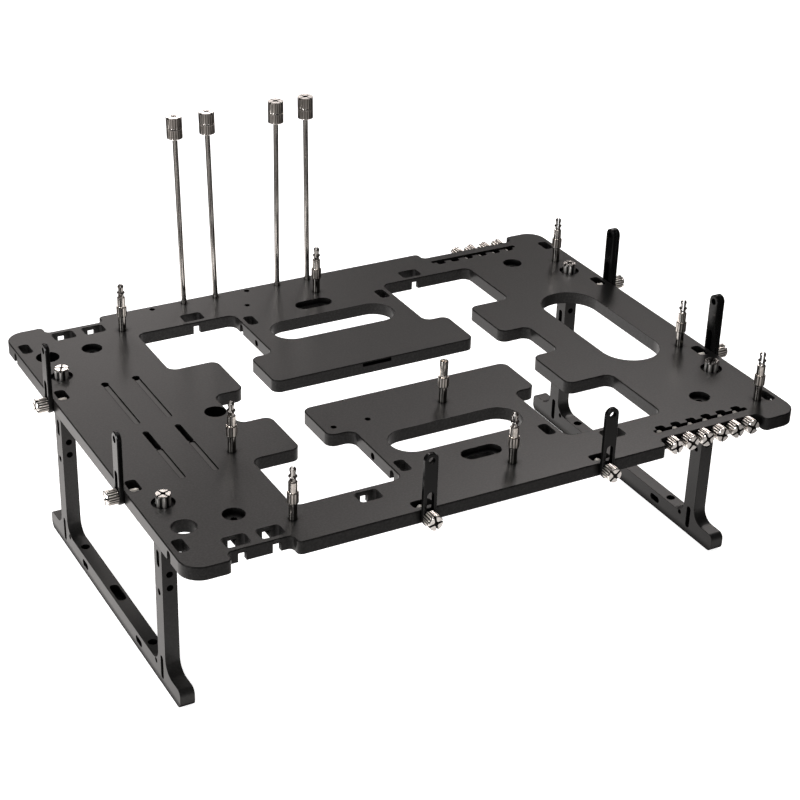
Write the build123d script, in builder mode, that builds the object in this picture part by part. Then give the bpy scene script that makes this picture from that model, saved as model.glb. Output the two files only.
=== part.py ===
from build123d import *
import os

os.makedirs("parts", exist_ok=True)

# Open air test bench: a cut-out plate on two side frames, with board stand-offs, fan brackets and card posts.
# Sizes are in millimetres. The floor is at height 0 and the bench's front looks towards -Y.

# Hole pattern of a full-size main board, and the plate that it leaves around itself
BOARD_COLUMN_2 = 124.46
BOARD_COLUMN_3 = 281.94
BOARD_ROW_2 = 72.39
BOARD_ROW_3 = 204.47
BOARD_ROW_4 = 227.33
SPARE_HOLE_COLUMN_1 = 58.42
SPARE_HOLE_COLUMN_2 = 78.74
BOARD_FRONT_INSET = 20.6
BOARD_REAR_INSET = 22.57
BOARD_LEFT_INSET = 63.85
BOARD_RIGHT_INSET = 13.21

# Plate
PLATE_THICKNESS = 7.2
PLATE_CORNER_RADIUS = 11.0
EDGE_CHAMFER = 0.4

# Central opening, with a tongue from the front and the rear and two tabs on each side
SIDE_RAIL_WIDTH = 69.5
END_RAIL_WIDTH = 31.25
OPENING_RADIUS = 5.0
TONGUE_NECK_WIDTH = 99.0
TONGUE_HEAD_WIDTH = 127.5
TONGUE_HEAD_DEPTH = 33.0
TONGUE_GAP = 33.5
TAB_REACH = 28.0
TAB_DEPTH = 37.7
SIDE_NOTCH_REACH = 10.0
LIP_SLOT_WIDTH = 18.0
LIP_SLOT_HEIGHT = 2.0
LIP_SLOT_DEPTH = 3.0
LIP_SKIN = 0.6

# Hand holds, cable slot and screw seats cut in the plate
HAND_HOLD_LENGTH = 78.5
HAND_HOLD_WIDTH = 24.5
HAND_HOLD_INSET = 32.0
CABLE_SLOT_LENGTH = 96.5
CABLE_SLOT_WIDTH = 36.0
CABLE_SLOT_INSET = 40.2
SEAT_ROW_INSET = 36.95
SEAT_DEPTH = 3.0
SEAT_HOLE_DIAMETER = 3.4
SLOT_SEAT_LENGTH = 23.0
SLOT_SEAT_WIDTH = 10.3
SLOT_SEAT_HOLE_LENGTH = 15.5
SLOT_SEAT_HOLE_WIDTH = 5.0
ROUND_SEAT_DIAMETER = 11.5
ROUND_SEAT_INSET = 40.0
OUTER_HOLE_DIAMETER = 12.8
OUTER_HOLE_INSET = 14.0
MIDDLE_HOLE_DIAMETER = 11.5
MIDDLE_HOLE_WALL = 0.75

# Edge notches, screw pockets behind thin walls, and the two long grooves
NOTCH_DEPTH = 7.25
NOTCH_RADIUS = 2.8
SMALL_NOTCH_END = 1.7
SMALL_NOTCH_INSET = 40.25
EDGE_WALL = 3.0
WALL_SLOT_WIDTH = 4.0
FLAT_SLOT_WIDTH = 4.4
FLAT_SLOT_RISE = 1.2
NARROW_POCKET_LENGTH = 11.2
NARROW_POCKET_WIDTH = 6.0
WIDE_POCKET_LENGTH = 12.6
WIDE_POCKET_WIDTH = 9.2
POCKET_RADIUS = 2.0
NOTCH_POCKET_SPACING = 18.0
NOTCH_CHANNEL_LENGTH = 20.0
WINDOW_POCKET_GAP = 9.0
NECK_POCKET_INSET = 11.0
CORNER_POCKET_INSET = 22.25
NECK_HOLE_DIAMETER = 3.8
NECK_HOLE_DEPTH = 8.0
NECK_HOLE_DROP = 0.6
GROOVE_WIDTH = 3.2
GROOVE_DEPTH = 0.6
GROOVE_FRONT_Y = -40.0
GROOVE_FRONT_LENGTH = 33.0
GROOVE_REAR_START = 5.0
GROOVE_SLOT_Y = -14.0
GROOVE_SLOT_LENGTH = 20.0
GROOVE_HOLE_Y = 54.3
GROOVE_HOLE_DIAMETER = 4.1

# Banks of spare screws in the front and rear edges
BANK_INSET = 55.5
BANK_COUNT = 6
BANK_PITCH = 10.0
BANK_NOTCH_END = 2.0
BANK_WALL = 6.2
BANK_SLOT_END = 5.5
BANK_SLOT_WIDTH = 2.8
BANK_SLOT_RADIUS = 0.9
BANK_BAY_WIDTH = 5.4
BANK_BAY_DEPTH = 3.1
BANK_BAY_RADIUS = 1.5
REAR_BANK_EMPTY = 2

# Side frames that carry the plate
LEG_HEIGHT = 101.8
LEG_WIDTH = 8.0
LEG_SIDE_INSET = 13.5
LEG_END_INSET = 38.0
LEG_BAR_HEIGHT = 10.8
LEG_POST_WIDTH = 9.8
LEG_POST_INSET = 23.75
LEG_FILLET = 8.0
FOOT_END_RADIUS = 3.5
LEG_SLOT_WIDTH = 3.4
LEG_HOLE_DIAMETER = 3.5
LEG_TOP_SLOT_LENGTH = 9.6
LEG_TOP_SLOT_Z = 77.5
LEG_SIDE_HOLE_Z = 57.5
LEG_LOW_SLOT_LENGTH = 14.0
LEG_LOW_SLOT_Z = 11.0
LEG_CORNER_HOLE_DIAMETER = 2.8
LEG_CORNER_HOLE_OFFSET = 8.2
LEG_CORNER_HOLE_Z = 10.2
LEG_BAR_SLOT_LENGTH = 8.6
LEG_BAR_SLOT_WIDTH = 3.8
LEG_BAR_SLOT_OFFSET = 32.9
LEG_BAR_SLOT_Z = 6.0
LEG_FRONT_HOLES_Z = [61.5, 69.5, 83.0]
LEG_BAR_HOLE_DIAMETER = 5.0
LEG_BAR_HOLE_OFFSET = 22.8
LEG_BAR_POCKET_LENGTH = 16.0
LEG_BAR_POCKET_WIDTH = 5.0
LEG_BAR_POCKET_DEPTH = 4.0

# Thumb screws
SCREW_HEAD_DIAMETER = 8.0
SCREW_HEAD_LENGTH = 6.5
SCREW_SHANK_DIAMETER = 3.5
SCREW_DRIVE_WIDTH = 1.1
SCREW_DRIVE_DEPTH = 1.4
SCREW_CLEARANCE = 0.1
SCREW_TIP_GAP = 0.4
LEG_SCREW_SEAT_DIAMETER = 12.0
LEG_SCREW_SEAT_DEPTH = 1.4
LEG_SCREW_GRIP = 8.0
LEG_SCREW_TIP_ROOM = 2.0

# Fan brackets
BRACKET_WIDTH = 7.6
BRACKET_THICKNESS = 2.6
BRACKET_SPACING = 105.0
BRACKET_EYE_DIAMETER = 3.8
BRACKET_EYE_HEIGHT = 33.4
BRACKET_SLOT_WIDTH = 4.0
BRACKET_SLOT_TRAVEL = 13.5
BRACKET_CHAMFER = 0.4
SINGLE_BRACKET_DROP = 1.2

# Stand-offs
STUD_DIAMETER = 2.9
STUD_CLEARANCE = 0.1
STUD_LENGTH = 6.0
STANDOFF_BASE_DIAMETER = 4.4
STANDOFF_BASE_LENGTH = 9.3
STANDOFF_COLLAR_DIAMETER = 5.9
STANDOFF_COLLAR_LENGTH = 6.1
SNAP_SHAFT_DIAMETER = 4.6
SNAP_SHAFT_LENGTH = 5.8
SNAP_NECK_DIAMETER = 3.3
SNAP_NECK_LENGTH = 2.0
SNAP_RING_DIAMETER = 4.6
SNAP_RING_LENGTH = 1.6
SNAP_UPPER_DIAMETER = 2.9
SNAP_UPPER_LENGTH = 1.4
SNAP_TIP_DIAMETER = 3.6
SNAP_TIP_LENGTH = 3.0
SNAP_SPLIT_WIDTH = 0.9
SNAP_SPLIT_TURN = 45
POST_FOOT_DIAMETER = 4.4
POST_TOP_DIAMETER = 4.7
POST_LENGTH = 9.4
POST_BORE_DIAMETER = 2.9
POST_BORE_DEPTH = 8.0

# Card posts along the rear edge
CARD_POST_PITCH = 20.32
CARD_HOLE_COUNT = 6
CARD_HOLES_BOARD_X = 76.55
CARD_HOLES_REAR_INSET = 4.2
CARD_POST_HOLES = [1, 2, 4, 5]
CARD_POST_LEANS = [1.5, 1.7, 0.3, 0.9]
CARD_POST_LENGTH = 115.2
CARD_NUT_DIAMETER = 9.1
CARD_NUT_LENGTH = 5.9
CARD_CAP_LENGTH = 6.7
CARD_NUT_GAP = 0.3
CARD_CAP_TOP = 117.5

# Heights and places worked out from the sizes above
PLATE_TOP = LEG_HEIGHT + PLATE_THICKNESS
SCREW_HEIGHT = LEG_HEIGHT + PLATE_THICKNESS / 2
PLATE_WIDTH = BOARD_LEFT_INSET + BOARD_COLUMN_3 + BOARD_RIGHT_INSET
PLATE_DEPTH = BOARD_FRONT_INSET + BOARD_ROW_4 + BOARD_REAR_INSET
PLATE_EDGE_X = PLATE_WIDTH / 2
PLATE_EDGE_Y = PLATE_DEPTH / 2
OPENING_WIDTH = PLATE_WIDTH - 2 * SIDE_RAIL_WIDTH
OPENING_DEPTH = PLATE_DEPTH - 2 * END_RAIL_WIDTH
HAND_HOLD_Y = OPENING_DEPTH / 2 - HAND_HOLD_INSET
NECK_POCKET_Y = OPENING_DEPTH / 2 - NECK_POCKET_INSET
CORNER_POCKET_Y = PLATE_EDGE_Y - CORNER_POCKET_INSET
SEAT_ROW_Y = PLATE_EDGE_Y - SEAT_ROW_INSET
CABLE_SLOT_X = PLATE_EDGE_X - CABLE_SLOT_INSET
ROUND_SEAT_X = PLATE_EDGE_X - ROUND_SEAT_INSET
OUTER_HOLE_X = PLATE_EDGE_X - OUTER_HOLE_INSET
MIDDLE_HOLE_X = OPENING_WIDTH / 2 - SIDE_NOTCH_REACH + MIDDLE_HOLE_WALL + MIDDLE_HOLE_DIAMETER / 2
WINDOW_POCKET_X = TONGUE_HEAD_WIDTH / 2 + WINDOW_POCKET_GAP
SMALL_NOTCH_X = PLATE_EDGE_X - SMALL_NOTCH_INSET
SMALL_NOTCH_WIDTH = NOTCH_POCKET_SPACING + WIDE_POCKET_LENGTH + 2 * SMALL_NOTCH_END
BANK_X = PLATE_EDGE_X - BANK_INSET
BANK_SLOT_LENGTH = (BANK_COUNT - 1) * BANK_PITCH + 2 * BANK_SLOT_END
BANK_NOTCH_WIDTH = BANK_SLOT_LENGTH + 2 * BANK_NOTCH_END
NOTCH_FLOOR_Y = PLATE_EDGE_Y - NOTCH_DEPTH
LEG_X = PLATE_EDGE_X - LEG_SIDE_INSET
LEG_LENGTH = PLATE_DEPTH - 2 * LEG_END_INSET
LEG_POST_Y = LEG_LENGTH / 2 - LEG_POST_INSET
LEG_BAR_SLOT_Y = LEG_POST_Y - LEG_BAR_SLOT_OFFSET
LEG_BAR_HOLE_Y = LEG_POST_Y - LEG_BAR_HOLE_OFFSET
FRONT_REACH = PLATE_EDGE_Y + BRACKET_THICKNESS + SCREW_HEAD_LENGTH
REAR_REACH = max(PLATE_EDGE_Y, NOTCH_FLOOR_Y + SCREW_HEAD_LENGTH)
CENTRE_Y = (FRONT_REACH - REAR_REACH) / 2
BANK_SCREW_SHANK = BANK_WALL + BANK_SLOT_WIDTH + BANK_BAY_DEPTH - SCREW_TIP_GAP
BRACKET_SCREW_GRIP = EDGE_WALL + NARROW_POCKET_WIDTH - SCREW_TIP_GAP
LEG_SCREW_SHANK = PLATE_THICKNESS - LEG_SCREW_SEAT_DEPTH + LEG_SCREW_GRIP
SCREW_HOLE_DIAMETER = SCREW_SHANK_DIAMETER + 2 * SCREW_CLEARANCE
STUD_HOLE_DIAMETER = STUD_DIAMETER + 2 * STUD_CLEARANCE
STANDOFF_SEAT = STANDOFF_BASE_LENGTH + STANDOFF_COLLAR_LENGTH
BOARD_X = BOARD_LEFT_INSET - PLATE_EDGE_X
BOARD_Y = BOARD_FRONT_INSET - PLATE_EDGE_Y
CARD_HOLES_X = BOARD_X + CARD_HOLES_BOARD_X
CARD_ROW_Y = PLATE_EDGE_Y - CARD_HOLES_REAR_INSET

# Workplanes, with their origins above the middle of the plate
TOP = Plane((0, CENTRE_Y, PLATE_TOP))
UNDERSIDE = Plane((0, CENTRE_Y, LEG_HEIGHT))


def at(x, y, z, turn=(0, 0, 0)):
    """A place measured from the middle of the plate."""
    return Location((x, CENTRE_Y + y, z), turn)


def save(part, name):
    """Name a finished piece and write its STEP file."""
    part.label = name
    export_step(part, f"parts/{name}.step")


def pocket_cutter(length, width, slot_width, flat_top, channel_length):
    """A pocket behind a thin wall whose outer face is at Y = 0, and the wall's screw slot, open below."""
    with BuildPart() as cutter:
        with BuildSketch(Plane.XY.offset(-PLATE_THICKNESS)):
            with Locations((0, -EDGE_WALL - width / 2)):
                RectangleRounded(length, width, POCKET_RADIUS)
        extrude(amount=2 * PLATE_THICKNESS)
        with BuildSketch(Plane.XZ.offset(-EDGE_WALL)):
            if flat_top:
                Rectangle(slot_width, 2 * FLAT_SLOT_RISE)
            else:
                Circle(slot_width / 2)
            with Locations((0, -PLATE_THICKNESS / 2)):
                Rectangle(slot_width, PLATE_THICKNESS)
        extrude(amount=2 * EDGE_WALL + width / 2 + channel_length)
    return cutter.part


def thumb_screw(shank_length):
    """A cylinder head with a cross slot, its seat at height 0 and its shank pointing down."""
    with BuildPart() as screw:
        with BuildSketch():
            Circle(SCREW_HEAD_DIAMETER / 2)
        extrude(amount=SCREW_HEAD_LENGTH)
        with BuildSketch(Plane.XY.offset(SCREW_HEAD_LENGTH)):
            Rectangle(SCREW_HEAD_DIAMETER, SCREW_DRIVE_WIDTH)
            Rectangle(SCREW_DRIVE_WIDTH, SCREW_HEAD_DIAMETER)
        extrude(amount=-SCREW_DRIVE_DEPTH, mode=Mode.SUBTRACT)
        with BuildSketch():
            Circle(SCREW_SHANK_DIAMETER / 2)
        extrude(amount=-shank_length)
    return screw.part


# Places of what repeats, measured from the middle of the plate
board_places = {
    "standoff_front_left": (BOARD_X, BOARD_Y),
    "standoff_front_middle": (BOARD_X + BOARD_COLUMN_2, BOARD_Y),
    "standoff_front_right": (BOARD_X + BOARD_COLUMN_3, BOARD_Y),
    "standoff_middle_left": (BOARD_X, BOARD_Y + BOARD_ROW_2),
    "alignment_post": (BOARD_X + BOARD_COLUMN_2, BOARD_Y + BOARD_ROW_2),
    "standoff_middle_right": (BOARD_X + BOARD_COLUMN_3, BOARD_Y + BOARD_ROW_2),
    "standoff_rear_left": (BOARD_X, BOARD_Y + BOARD_ROW_4),
    "standoff_rear_middle": (BOARD_X + BOARD_COLUMN_2, BOARD_Y + BOARD_ROW_4),
    "standoff_rear_right": (BOARD_X + BOARD_COLUMN_3, BOARD_Y + BOARD_ROW_3),
}
spare_board_holes = [
    (BOARD_X + SPARE_HOLE_COLUMN_1, BOARD_Y + BOARD_ROW_2),
    (BOARD_X + SPARE_HOLE_COLUMN_2, BOARD_Y + BOARD_ROW_2),
    (BOARD_X + SPARE_HOLE_COLUMN_2, BOARD_Y + BOARD_ROW_4),
]
card_holes = [
    (CARD_HOLES_X + (k - (CARD_HOLE_COUNT - 1) / 2) * CARD_POST_PITCH, CARD_ROW_Y)
    for k in range(CARD_HOLE_COUNT)
]
bank_columns = [BANK_X + (k - (BANK_COUNT - 1) / 2) * BANK_PITCH for k in range(BANK_COUNT)]
notch_columns = [-SMALL_NOTCH_X + side * NOTCH_POCKET_SPACING / 2 for side in (-1, 1)]
leg_screw_places = {
    "left_front_leg_screw": (-LEG_X, -LEG_POST_Y),
    "left_rear_leg_screw": (-LEG_X, LEG_POST_Y),
    "right_front_leg_screw": (LEG_X, -LEG_POST_Y),
    "right_rear_leg_screw": (LEG_X, LEG_POST_Y),
}
# Each bracket has a point on the plate's edge and the turn about Z that faces it outwards from there
bracket_places = {
    "front_left": (-BRACKET_SPACING / 2, -PLATE_EDGE_Y, 0),
    "front_right": (BRACKET_SPACING / 2, -PLATE_EDGE_Y, 0),
    "left_front": (-PLATE_EDGE_X, -BRACKET_SPACING / 2, -90),
    "left_rear": (-PLATE_EDGE_X, BRACKET_SPACING / 2, -90),
    "right_front": (PLATE_EDGE_X, -BRACKET_SPACING / 2, 90),
    "right_rear": (PLATE_EDGE_X, BRACKET_SPACING / 2, 90),
}
bracket_pairs = ["right_front", "right_rear"]

# Main plate
narrow_pocket = pocket_cutter(NARROW_POCKET_LENGTH, NARROW_POCKET_WIDTH, WALL_SLOT_WIDTH, False, 0)
wide_pocket = pocket_cutter(WIDE_POCKET_LENGTH, WIDE_POCKET_WIDTH, FLAT_SLOT_WIDTH, True, 0)
notch_pocket = pocket_cutter(
    WIDE_POCKET_LENGTH, WIDE_POCKET_WIDTH, FLAT_SLOT_WIDTH, True, NOTCH_CHANNEL_LENGTH
)
narrow_pocket_places = [at(x, y, SCREW_HEIGHT, (0, 0, turn + 180)) for x, y, turn in bracket_places.values()]
for end in (-1, 1):
    narrow_pocket_places += [
        at(-PLATE_EDGE_X, end * CORNER_POCKET_Y, SCREW_HEIGHT, (0, 0, 90)),
        at(PLATE_EDGE_X, end * CORNER_POCKET_Y, SCREW_HEIGHT, (0, 0, -90)),
        at(-TONGUE_NECK_WIDTH / 2, end * NECK_POCKET_Y, SCREW_HEIGHT, (0, 0, 90)),
        at(TONGUE_NECK_WIDTH / 2, end * NECK_POCKET_Y, SCREW_HEIGHT, (0, 0, -90)),
    ]
wide_pocket_places = [
    at(side * WINDOW_POCKET_X, end * OPENING_DEPTH / 2, SCREW_HEIGHT, (0, 0, 90 + 90 * end))
    for side in (-1, 1)
    for end in (-1, 1)
]
notch_pocket_places = [
    at(x, end * NOTCH_FLOOR_Y, SCREW_HEIGHT, (0, 0, 90 - 90 * end)) for x in notch_columns for end in (-1, 1)
]

with BuildPart() as main_plate:
    # Outline with a small notch and a screw bank's notch in the front and rear edges
    with BuildSketch(UNDERSIDE) as outline:
        Rectangle(PLATE_WIDTH, PLATE_DEPTH)
        with Locations((-SMALL_NOTCH_X, -PLATE_EDGE_Y), (-SMALL_NOTCH_X, PLATE_EDGE_Y)):
            Rectangle(SMALL_NOTCH_WIDTH, 2 * NOTCH_DEPTH, mode=Mode.SUBTRACT)
        with Locations((BANK_X, -PLATE_EDGE_Y), (BANK_X, PLATE_EDGE_Y)):
            Rectangle(BANK_NOTCH_WIDTH, 2 * NOTCH_DEPTH, mode=Mode.SUBTRACT)
        by_x = outline.vertices().sort_by(Axis.X)
        fillet(by_x[2:-2], radius=NOTCH_RADIUS)
        by_x = outline.vertices().sort_by(Axis.X)
        fillet(by_x[:2] + by_x[-2:], radius=PLATE_CORNER_RADIUS)
        # Central opening around the two tongues and the four tabs
        with BuildSketch(mode=Mode.PRIVATE) as opening:
            Rectangle(OPENING_WIDTH, OPENING_DEPTH)
            for side in (-1, 1):
                with Locations((0, side * (OPENING_DEPTH + TONGUE_GAP) / 4)):
                    Rectangle(TONGUE_NECK_WIDTH, (OPENING_DEPTH - TONGUE_GAP) / 2, mode=Mode.SUBTRACT)
                with Locations((0, side * (TONGUE_GAP + TONGUE_HEAD_DEPTH) / 2)):
                    Rectangle(TONGUE_HEAD_WIDTH, TONGUE_HEAD_DEPTH, mode=Mode.SUBTRACT)
                with Locations((side * OPENING_WIDTH / 2, 0)):
                    Rectangle(2 * TAB_REACH, TONGUE_GAP + 2 * TAB_DEPTH, mode=Mode.SUBTRACT)
            Rectangle(OPENING_WIDTH - 2 * SIDE_NOTCH_REACH, TONGUE_GAP)
            fillet(opening.vertices(), radius=OPENING_RADIUS)
        add(opening.sketch, mode=Mode.SUBTRACT)
    extrude(amount=PLATE_THICKNESS)
    chamfer(main_plate.faces().sort_by(Axis.Z)[-1].edges(), length=EDGE_CHAMFER)

    # Slot under the skin in each tongue's edge
    for side in (-1, 1):
        with Locations(at(0, side * TONGUE_GAP / 2, PLATE_TOP - LIP_SKIN - LIP_SLOT_HEIGHT / 2)):
            Box(LIP_SLOT_WIDTH, 2 * LIP_SLOT_DEPTH, LIP_SLOT_HEIGHT, mode=Mode.SUBTRACT)

    # Hand holds, cable slot, stud holes and all that goes straight through
    with BuildSketch(TOP):
        with Locations((0, -HAND_HOLD_Y), (0, HAND_HOLD_Y)):
            SlotOverall(HAND_HOLD_LENGTH, HAND_HOLD_WIDTH)
        with Locations((CABLE_SLOT_X, 0)):
            SlotOverall(CABLE_SLOT_LENGTH, CABLE_SLOT_WIDTH, rotation=90)
        with Locations((0, -SEAT_ROW_Y), (0, SEAT_ROW_Y)):
            SlotOverall(SLOT_SEAT_HOLE_LENGTH, SLOT_SEAT_HOLE_WIDTH)
        with Locations((-MIDDLE_HOLE_X, 0)):
            Circle(MIDDLE_HOLE_DIAMETER / 2)
        with Locations((-OUTER_HOLE_X, -SEAT_ROW_Y), (-OUTER_HOLE_X, SEAT_ROW_Y)):
            Circle(OUTER_HOLE_DIAMETER / 2)
        with Locations(*[(x, GROOVE_SLOT_Y) for x in notch_columns]):
            SlotOverall(GROOVE_SLOT_LENGTH, GROOVE_WIDTH, rotation=90)
        with Locations(*[(x, GROOVE_HOLE_Y) for x in notch_columns]):
            Circle(GROOVE_HOLE_DIAMETER / 2)
        with Locations(*board_places.values(), *spare_board_holes, *card_holes):
            Circle(STUD_HOLE_DIAMETER / 2)
        for end in (-1, 1):
            slot_y = end * (NOTCH_FLOOR_Y - BANK_WALL - BANK_SLOT_WIDTH / 2)
            with Locations((BANK_X, slot_y)):
                RectangleRounded(BANK_SLOT_LENGTH, BANK_SLOT_WIDTH, BANK_SLOT_RADIUS)
            with Locations(*[(x, slot_y - end * BANK_BAY_DEPTH / 2) for x in bank_columns]):
                RectangleRounded(BANK_BAY_WIDTH, BANK_SLOT_WIDTH + BANK_BAY_DEPTH, BANK_BAY_RADIUS)
    extrude(amount=-PLATE_THICKNESS, mode=Mode.SUBTRACT)

    # Shallow seats and grooves
    with BuildSketch(TOP):
        with Locations((0, -SEAT_ROW_Y), (0, SEAT_ROW_Y)):
            SlotOverall(SLOT_SEAT_LENGTH, SLOT_SEAT_WIDTH)
    extrude(amount=-SEAT_DEPTH, mode=Mode.SUBTRACT)
    with BuildSketch(TOP):
        with Locations(*[(x, GROOVE_FRONT_Y) for x in notch_columns]):
            SlotOverall(GROOVE_FRONT_LENGTH, GROOVE_WIDTH, rotation=90)
        with Locations(*[(x, (GROOVE_REAR_START + GROOVE_HOLE_Y) / 2) for x in notch_columns]):
            SlotOverall(GROOVE_HOLE_Y - GROOVE_REAR_START, GROOVE_WIDTH, rotation=90)
    extrude(amount=-GROOVE_DEPTH, mode=Mode.SUBTRACT)
    seat_places = []
    for x in (-ROUND_SEAT_X, ROUND_SEAT_X):
        seat_places += [at(x, -SEAT_ROW_Y, PLATE_TOP), at(x, SEAT_ROW_Y, PLATE_TOP)]
    with Locations(*seat_places):
        CounterBoreHole(SEAT_HOLE_DIAMETER / 2, ROUND_SEAT_DIAMETER / 2, SEAT_DEPTH)
    with Locations(*[at(x, y, PLATE_TOP) for x, y in leg_screw_places.values()]):
        CounterBoreHole(SCREW_HOLE_DIAMETER / 2, LEG_SCREW_SEAT_DIAMETER / 2, LEG_SCREW_SEAT_DEPTH)

    # Pockets behind the thin walls, blind holes in the necks and holes through the banks' walls
    with Locations(*narrow_pocket_places):
        add(narrow_pocket, mode=Mode.SUBTRACT)
    with Locations(*wide_pocket_places):
        add(wide_pocket, mode=Mode.SUBTRACT)
    with Locations(*notch_pocket_places):
        add(notch_pocket, mode=Mode.SUBTRACT)
    neck_hole_z = SCREW_HEIGHT - NECK_HOLE_DROP
    for side in (-1, 1):
        hole_x = side * TONGUE_NECK_WIDTH / 2
        with Locations(*[at(hole_x, end * HAND_HOLD_Y, neck_hole_z) for end in (-1, 1)]):
            Cylinder(NECK_HOLE_DIAMETER / 2, 2 * NECK_HOLE_DEPTH, rotation=(0, 90, 0), mode=Mode.SUBTRACT)
    for end in (-1, 1):
        with Locations(*[at(x, end * (NOTCH_FLOOR_Y - BANK_WALL / 2), SCREW_HEIGHT) for x in bank_columns]):
            hole_length = BANK_WALL + BANK_SLOT_WIDTH
            Cylinder(SCREW_HOLE_DIAMETER / 2, hole_length, rotation=(90, 0, 0), mode=Mode.SUBTRACT)

save(main_plate.part, "main_plate")

# Side frames: a floor bar with two posts, cut from one thick sheet
for side, name in ((-1, "left_leg_frame"), (1, "right_leg_frame")):
    middle = Plane((side * LEG_X, CENTRE_Y, 0), x_dir=(0, 1, 0), z_dir=(1, 0, 0))
    with BuildPart() as leg_frame:
        with BuildSketch(middle) as leg_outline:
            with Locations((0, LEG_BAR_HEIGHT / 2)):
                Rectangle(LEG_LENGTH, LEG_BAR_HEIGHT)
            with Locations((-LEG_POST_Y, LEG_HEIGHT / 2), (LEG_POST_Y, LEG_HEIGHT / 2)):
                Rectangle(LEG_POST_WIDTH, LEG_HEIGHT)
            bar_top = leg_outline.vertices().group_by(Axis.Y)[1].sort_by(Axis.X)
            fillet(bar_top[1:-1], radius=LEG_FILLET)
            by_y = leg_outline.vertices().sort_by(Axis.X)
            fillet(by_y[:2] + by_y[-2:], radius=FOOT_END_RADIUS)
        extrude(amount=LEG_WIDTH / 2, both=True)
        # Slots and holes from side to side
        with BuildSketch(middle):
            for end in (-1, 1):
                with Locations((end * LEG_POST_Y, LEG_TOP_SLOT_Z)):
                    SlotOverall(LEG_TOP_SLOT_LENGTH, LEG_SLOT_WIDTH, rotation=90)
                with Locations((end * LEG_POST_Y, LEG_LOW_SLOT_Z)):
                    SlotOverall(LEG_LOW_SLOT_LENGTH, LEG_SLOT_WIDTH, rotation=90)
                with Locations((end * LEG_POST_Y, LEG_SIDE_HOLE_Z)):
                    Circle(LEG_HOLE_DIAMETER / 2)
                with Locations((end * (LEG_POST_Y - LEG_CORNER_HOLE_OFFSET), LEG_CORNER_HOLE_Z)):
                    Circle(LEG_CORNER_HOLE_DIAMETER / 2)
                with Locations((end * LEG_BAR_SLOT_Y, LEG_BAR_SLOT_Z)):
                    SlotOverall(LEG_BAR_SLOT_LENGTH, LEG_BAR_SLOT_WIDTH)
        extrude(amount=LEG_WIDTH, both=True, mode=Mode.SUBTRACT)
        # Holes from front to rear through each post
        for end in (-1, 1):
            with Locations(*[at(side * LEG_X, end * LEG_POST_Y, z) for z in LEG_FRONT_HOLES_Z]):
                Cylinder(LEG_HOLE_DIAMETER / 2, LEG_POST_WIDTH, rotation=(90, 0, 0), mode=Mode.SUBTRACT)
        # Screw holes in the post tops, and the holes and pocket in the bar's top
        with Locations(*[at(side * LEG_X, end * LEG_POST_Y, LEG_HEIGHT) for end in (-1, 1)]):
            Hole(SCREW_HOLE_DIAMETER / 2, depth=LEG_SCREW_GRIP + LEG_SCREW_TIP_ROOM)
        with Locations(*[at(side * LEG_X, end * LEG_BAR_HOLE_Y, LEG_BAR_HEIGHT) for end in (-1, 1)]):
            Hole(LEG_BAR_HOLE_DIAMETER / 2, depth=LEG_BAR_HEIGHT)
        with BuildSketch(Plane((side * LEG_X, CENTRE_Y, LEG_BAR_HEIGHT))):
            SlotOverall(LEG_BAR_POCKET_LENGTH, LEG_BAR_POCKET_WIDTH, rotation=90)
        extrude(amount=-LEG_BAR_POCKET_DEPTH, mode=Mode.SUBTRACT)
    save(leg_frame.part, name)

# Screws that hold the plate on the side frames
leg_screw = thumb_screw(LEG_SCREW_SHANK)
for name, (x, y) in leg_screw_places.items():
    with BuildPart() as placed_screw:
        with Locations(at(x, y, PLATE_TOP - LEG_SCREW_SEAT_DEPTH)):
            add(leg_screw)
    save(placed_screw.part, name)

# Spare screws parked in the front and rear banks
bank_screw = thumb_screw(BANK_SCREW_SHANK)
with BuildPart() as front_spare_screws:
    with Locations(*[at(x, -NOTCH_FLOOR_Y, SCREW_HEIGHT, (90, 0, 0)) for x in bank_columns]):
        add(bank_screw)
save(front_spare_screws.part, "front_spare_screws")
with BuildPart() as rear_spare_screws:
    rear_columns = bank_columns[REAR_BANK_EMPTY:]
    with Locations(*[at(x, NOTCH_FLOOR_Y, SCREW_HEIGHT, (-90, 0, 0)) for x in rear_columns]):
        add(bank_screw)
save(rear_spare_screws.part, "rear_spare_screws")

# Fan brackets: a round-ended bar with an eye at its top and a slot that slides on the screw
with BuildPart() as bracket:
    with BuildSketch(Plane.XZ):
        with Locations((0, BRACKET_EYE_HEIGHT / 2)):
            SlotCenterToCenter(BRACKET_EYE_HEIGHT, BRACKET_WIDTH, rotation=90)
    extrude(amount=BRACKET_THICKNESS)
    broad_faces = bracket.faces().sort_by(Axis.Y)
    chamfer(broad_faces[0].edges() + broad_faces[-1].edges(), length=BRACKET_CHAMFER)
    with BuildSketch(Plane.XZ):
        with Locations((0, BRACKET_EYE_HEIGHT)):
            Circle(BRACKET_EYE_DIAMETER / 2)
        with Locations((0, BRACKET_SLOT_TRAVEL / 2)):
            SlotCenterToCenter(BRACKET_SLOT_TRAVEL, BRACKET_SLOT_WIDTH, rotation=90)
    extrude(amount=BRACKET_THICKNESS, mode=Mode.SUBTRACT)

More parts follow.
